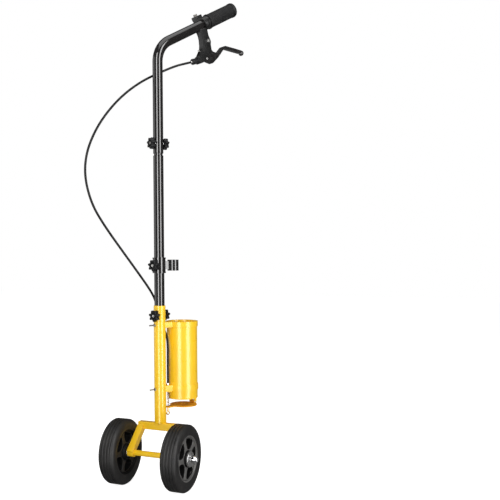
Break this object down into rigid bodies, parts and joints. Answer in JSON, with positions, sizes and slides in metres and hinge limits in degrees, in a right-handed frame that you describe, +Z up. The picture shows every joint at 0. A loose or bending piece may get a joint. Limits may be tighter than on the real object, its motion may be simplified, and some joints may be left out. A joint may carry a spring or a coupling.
{
  "type": "line-marking wand on two wheels",
  "caption": "Two-wheeled marking wand: yellow yoke and can holder, black telescopic mast, grip and brake lever with a cable to the nozzle plate.",
  "frame": {"origin": "on the ground, midway between the two wheels and under the axle", "axes": "+X rolling direction away from the user, +Y along the axle to the left wheel, +Z up along the mast"},
  "size_m": [0.3573, 0.2362, 1.0816],
  "materials": {
    "yellow": "gloss",
    "black_paint": "gloss",
    "black_plastic": "matte",
    "black_rubber": "matte",
    "tyre_rubber": "matte",
    "black_alloy": "satin",
    "zinc": "satin",
    "chrome": "polished",
    "brass": "satin",
    "cable_black": "gloss"
  },
  "bodies": {
    "frame": {"post_tube": "yellow", "post_inserts": "zinc", "yoke_crossbar": "yellow", "left_yoke_arm": "yellow", "right_yoke_arm": "yellow", "axle_tube": "yellow", "axle_rod": "zinc", "axle_washers": "zinc", "dome_nuts": "chrome", "canister_tube": "yellow", "can_seat_ring": "yellow", "upper_strap": "yellow", "lower_strap": "yellow", "cable_bracket": "yellow", "strap_bolts": "zinc", "plate_hinge_bracket": "yellow", "plate_hinge_pin": "zinc", "lower_ferrule": "zinc", "cable_housing_lower": "cable_black", "return_spring": "zinc"},
    "nozzle_plate": {"nozzle_plate": "yellow"},
    "pull_wire": {"pull_wire": "zinc", "wire_clamp": "brass"},
    "mast": {"mast_tube": "black_paint", "mast_spigot": "black_paint"},
    "collar": {"collar_ring": "black_plastic", "collar_insert": "brass", "tube_clip": "black_plastic", "clip_screw": "zinc"},
    "handle": {"handle_tube": "black_paint", "handle_inserts": "zinc", "handle_grip": "black_rubber", "lever_perch": "black_alloy", "clamp_screw": "zinc", "lever_pivot_bolt": "zinc", "adjuster_lock_ring": "black_plastic", "upper_ferrule": "zinc", "cable_housing_upper": "cable_black"},
    "lever": {"brake_lever": "black_alloy", "cable_nipple": "zinc"},
    "adjuster": {"barrel_adjuster": "black_plastic"},
    "reach_screw": {"reach_screw": "zinc"},
    "left_wheel": {"left_wheel_tyre": "tyre_rubber", "left_wheel_rim": "black_plastic", "left_wheel_bearings": "zinc"},
    "right_wheel": {"right_wheel_tyre": "tyre_rubber", "right_wheel_rim": "black_plastic", "right_wheel_bearings": "zinc"},
    "post_front_knob": {"post_front_knob_head": "black_plastic", "post_front_knob_stud": "zinc"},
    "post_rear_knob": {"post_rear_knob_head": "black_plastic", "post_rear_knob_stud": "zinc"},
    "collar_knob": {"collar_knob_head": "black_plastic", "collar_knob_stud": "zinc"},
    "joint_front_knob": {"joint_front_knob_head": "black_plastic", "joint_front_knob_stud": "zinc"},
    "joint_rear_knob": {"joint_rear_knob_head": "black_plastic", "joint_rear_knob_stud": "zinc"}
  },
  "joints": [
    {"name": "left_wheel_spin", "type": "hinge", "parent": "frame", "child": "left_wheel", "pos_m": [0, 0.072, 0.07], "axis": [0, 1, 0], "continuous": true},
    {"name": "right_wheel_spin", "type": "hinge", "parent": "frame", "child": "right_wheel", "pos_m": [0, -0.072, 0.07], "axis": [0, 1, 0], "continuous": true},
    {"name": "mast_turn", "type": "hinge", "parent": "frame", "child": "mast", "pos_m": [-0.05, 0, 0.363], "axis": [0, 0, 1], "range_deg": [-45, 45]},
    {"name": "handle_height", "type": "slide", "parent": "mast", "child": "handle", "axis": [0, 0, 1], "range_m": [0, 0.08]},
    {"name": "lever_squeeze", "type": "hinge", "parent": "handle", "child": "lever", "pos_m": [-0.16659, 0.06731, 0.98349], "axis": [0.5, 0.866, 0], "range_deg": [0, 13], "stiffness_Nm_per_rad": 1.5, "springref_deg": -11.46},
    {"name": "plate_lift", "type": "hinge", "parent": "frame", "child": "nozzle_plate", "pos_m": [-0.12621, 0.044, 0.166], "axis": [-0.5, -0.866, 0], "range_deg": [0, 6.95]},
    {"name": "wire_pull", "type": "slide", "parent": "frame", "child": "pull_wire", "axis": [0, 0, 1], "range_m": [0, 0.0086], "deforming": ["return_spring"]},
    {"name": "barrel_turn", "type": "hinge", "parent": "handle", "child": "adjuster", "pos_m": [-0.14784, 0.05649, 0.93712], "axis": [0.8256, -0.4766, -0.3021], "range_deg": [-360, 360]},
    {"name": "reach_screw_turn", "type": "hinge", "parent": "handle", "child": "reach_screw", "pos_m": [-0.15238, 0.05911, 0.95813], "axis": [0.8656, -0.4998, 0.0309], "range_deg": [-360, 360]},
    {"name": "collar_slide", "type": "slide", "parent": "mast", "child": "collar", "axis": [0, 0, 1], "range_m": [-0.025, 0.12]},
    {"name": "post_front_knob_turn", "type": "hinge", "parent": "frame", "child": "post_front_knob", "pos_m": [-0.05, 0, 0.363], "axis": [0.9877, -0.1564, 0], "range_deg": [0, 360]},
    {"name": "post_rear_knob_turn", "type": "hinge", "parent": "frame", "child": "post_rear_knob", "pos_m": [-0.05, 0, 0.363], "axis": [-0.9877, 0.1564, 0], "range_deg": [0, 360]},
    {"name": "collar_knob_turn", "type": "hinge", "parent": "collar", "child": "collar_knob", "pos_m": [-0.05, 0, 0.4726], "axis": [0.9877, -0.1564, 0], "range_deg": [0, 360]},
    {"name": "joint_front_knob_turn", "type": "hinge", "parent": "handle", "child": "joint_front_knob", "pos_m": [-0.05, 0, 0.74], "axis": [0.866, -0.5, 0], "range_deg": [0, 360]},
    {"name": "joint_rear_knob_turn", "type": "hinge", "parent": "handle", "child": "joint_rear_knob", "pos_m": [-0.05, 0, 0.74], "axis": [-0.866, 0.5, 0], "range_deg": [0, 360]}
  ],
  "couplings": [
    {"joint": "plate_lift", "follows": "lever_squeeze", "ratio": 0.53099},
    {"joint": "wire_pull", "follows": "lever_squeeze", "m_per_rad": 0.0377}
  ]
}
